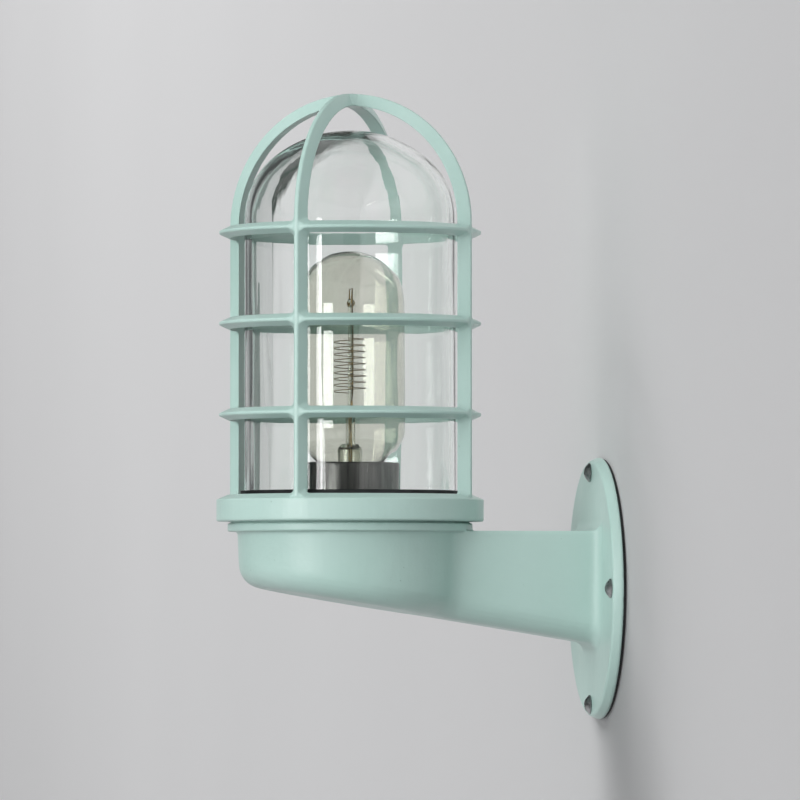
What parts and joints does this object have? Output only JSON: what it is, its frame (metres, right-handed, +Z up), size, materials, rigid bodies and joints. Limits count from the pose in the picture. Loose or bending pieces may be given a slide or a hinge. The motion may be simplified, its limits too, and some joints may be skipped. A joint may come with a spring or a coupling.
{
  "type": "cage wall light",
  "caption": "Cast wall light: a round wall plate and hollow arm carry a glass jar with a bulb under a screwed cage guard.",
  "frame": {"origin": "on the wall face, at the centre of the circle of wall screws", "axes": "+Z up, +Y into the wall, -Y out of the wall towards the lantern, +X to the right as seen from the wall's room side"},
  "size_m": [0.1262, 0.2121, 0.2956],
  "materials": {
    "bracket_casting": "satin",
    "wall_gasket": "matte",
    "wall_screws": "bright, worn",
    "cable_grommet": "matte",
    "glass_gasket": "matte",
    "lampholder_strap": "zinc plated",
    "strap_screws": "zinc plated",
    "lampholder_nipple": "zinc plated",
    "nipple_washer": "zinc plated",
    "nipple_nut": "zinc plated",
    "lampholder_shell": "satin",
    "lampholder_ceramic": "unglazed",
    "screw_contact": "drawn",
    "centre_contact": "drawn",
    "terminal_block": "matte",
    "terminal_tubes": "drawn",
    "terminal_screws": "zinc plated",
    "block_screws": "zinc plated",
    "live_wire": "satin",
    "neutral_wire": "satin",
    "earth_wire": "satin",
    "earth_lug": "tinned",
    "earth_screw": "zinc plated",
    "guard_cage": "satin",
    "guard_seal": "matte",
    "glass_jar": "clear, pressed",
    "bulb_glass": "clear, thin",
    "bulb_cap": "nickel-brass",
    "bulb_insulator": "black glass",
    "bulb_tip": "soldered",
    "bulb_stem": "clear",
    "lead_wires": "dull",
    "filament_supports": "dull",
    "filament": "dark"
  },
  "bodies": {
    "fitting": {"bracket_casting": "bracket_casting", "wall_gasket": "wall_gasket", "wall_screws": "wall_screws", "cable_grommet": "cable_grommet", "glass_gasket": "glass_gasket", "lampholder_strap": "lampholder_strap", "strap_screws": "strap_screws", "lampholder_nipple": "lampholder_nipple", "nipple_washer": "nipple_washer", "nipple_nut": "nipple_nut", "lampholder_shell": "lampholder_shell", "lampholder_ceramic": "lampholder_ceramic", "screw_contact": "screw_contact", "centre_contact": "centre_contact", "terminal_block": "terminal_block", "terminal_tubes": "terminal_tubes", "terminal_screws": "terminal_screws", "block_screws": "block_screws", "live_wire": "live_wire", "neutral_wire": "neutral_wire", "earth_wire": "earth_wire", "earth_lug": "earth_lug", "earth_screw": "earth_screw"},
    "jar": {"glass_jar": "glass_jar"},
    "seal": {"guard_seal": "guard_seal"},
    "guard": {"guard_cage": "guard_cage"},
    "bulb": {"bulb_glass": "bulb_glass", "bulb_cap": "bulb_cap", "bulb_insulator": "bulb_insulator", "bulb_tip": "bulb_tip", "bulb_stem": "bulb_stem", "lead_wires": "lead_wires", "filament_supports": "filament_supports", "filament": "filament"}
  },
  "joints": [
    {"name": "glass_lift", "type": "slide", "parent": "fitting", "child": "jar", "axis": [0, 0, 1], "range_m": [0, 0.14]},
    {"name": "guard_rise", "type": "slide", "parent": "jar", "child": "seal", "axis": [0, 0, 1], "range_m": [0, 0.0094]},
    {"name": "guard_turn", "type": "hinge", "parent": "seal", "child": "guard", "pos_m": [0, -0.121, 0], "axis": [0, 0, 1], "range_deg": [0, 1116]},
    {"name": "bulb_lift", "type": "slide", "parent": "fitting", "child": "bulb", "axis": [0, 0, 1], "range_m": [0, 0.045]}
  ],
  "couplings": [
    {"joint": "guard_rise", "follows": "guard_turn", "m_per_rad": 0.00047746}
  ]
}
